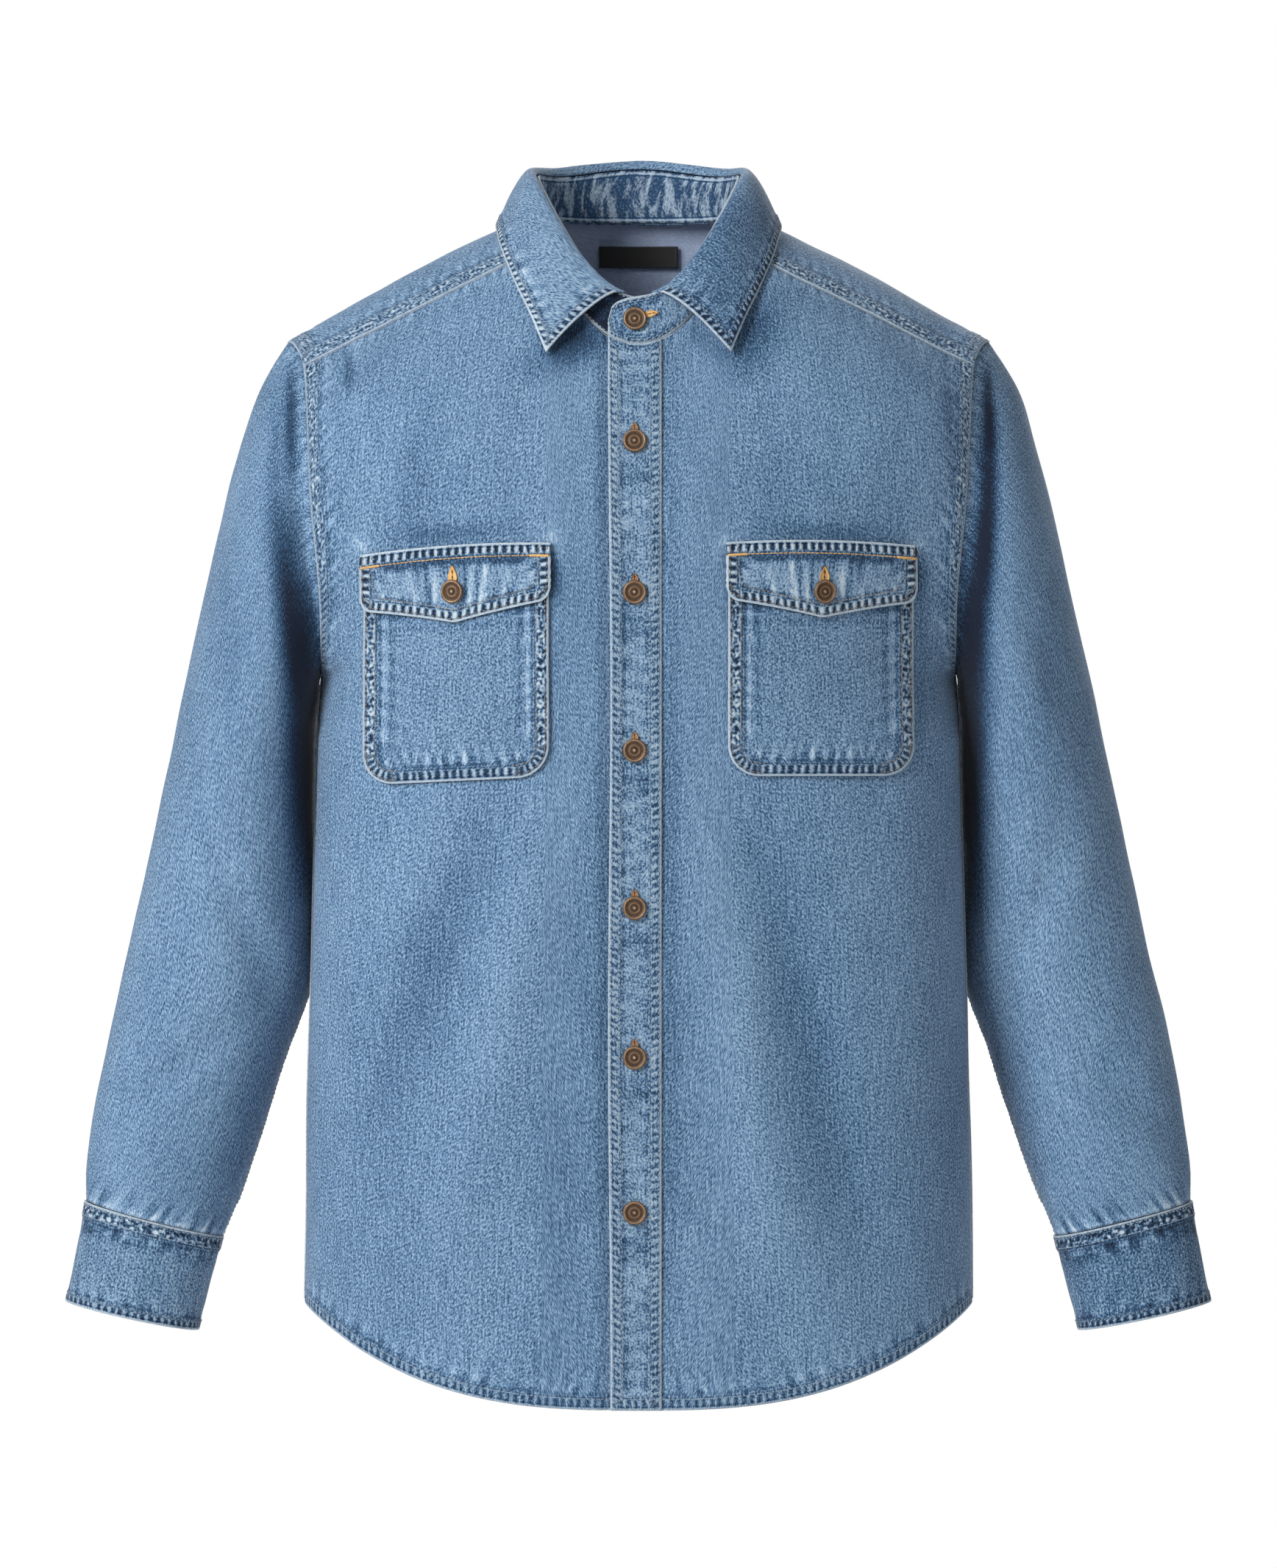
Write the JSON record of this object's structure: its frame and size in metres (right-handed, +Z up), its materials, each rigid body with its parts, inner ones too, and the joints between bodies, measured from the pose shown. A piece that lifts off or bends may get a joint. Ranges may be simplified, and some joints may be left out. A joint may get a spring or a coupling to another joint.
{
  "type": "denim shirt",
  "caption": "Long-sleeved denim shirt with a point collar, yoke, two flap chest pockets, button front, buttoned cuffs and a curved hem, filled out with no wearer.",
  "frame": {"origin": "middle of the neck base, level with the neck points of the shoulders, where the wearer's shoulders carry the shirt", "axes": "+Z up along the body, -Y towards the front, +X towards the wearer's left"},
  "size_m": [0.764, 0.2381, 0.8375],
  "materials": {
    "denim": "washed light-weight indigo denim, pale where it is worn along the seams",
    "button_metal": "antiqued copper-brown metal shank buttons",
    "label": "plain black woven label, bare",
    "thread": "gold-brown and pale blue sewing thread"
  },
  "bodies": {
    "root": {"front_left": "denim", "front_right": "denim", "back": "denim", "yoke": "denim", "sleeve_left": "denim", "sleeve_right": "denim", "cuff_left": "denim", "cuff_right": "denim", "sleeve_placket_left": "denim", "sleeve_placket_right": "denim", "collar_stand": "denim", "collar": "denim", "placket": "denim", "pocket_left": "denim", "pocket_right": "denim", "flap_left": "denim", "flap_right": "denim", "label": "label", "button_front_1": "button_metal", "button_front_2": "button_metal", "button_front_3": "button_metal", "button_front_4": "button_metal", "button_front_5": "button_metal", "button_front_6": "button_metal", "button_flap_left": "button_metal", "button_flap_right": "button_metal", "button_cuff_left": "button_metal", "button_cuff_right": "button_metal", "button_collar": "button_metal"}
  },
  "joints": []
}
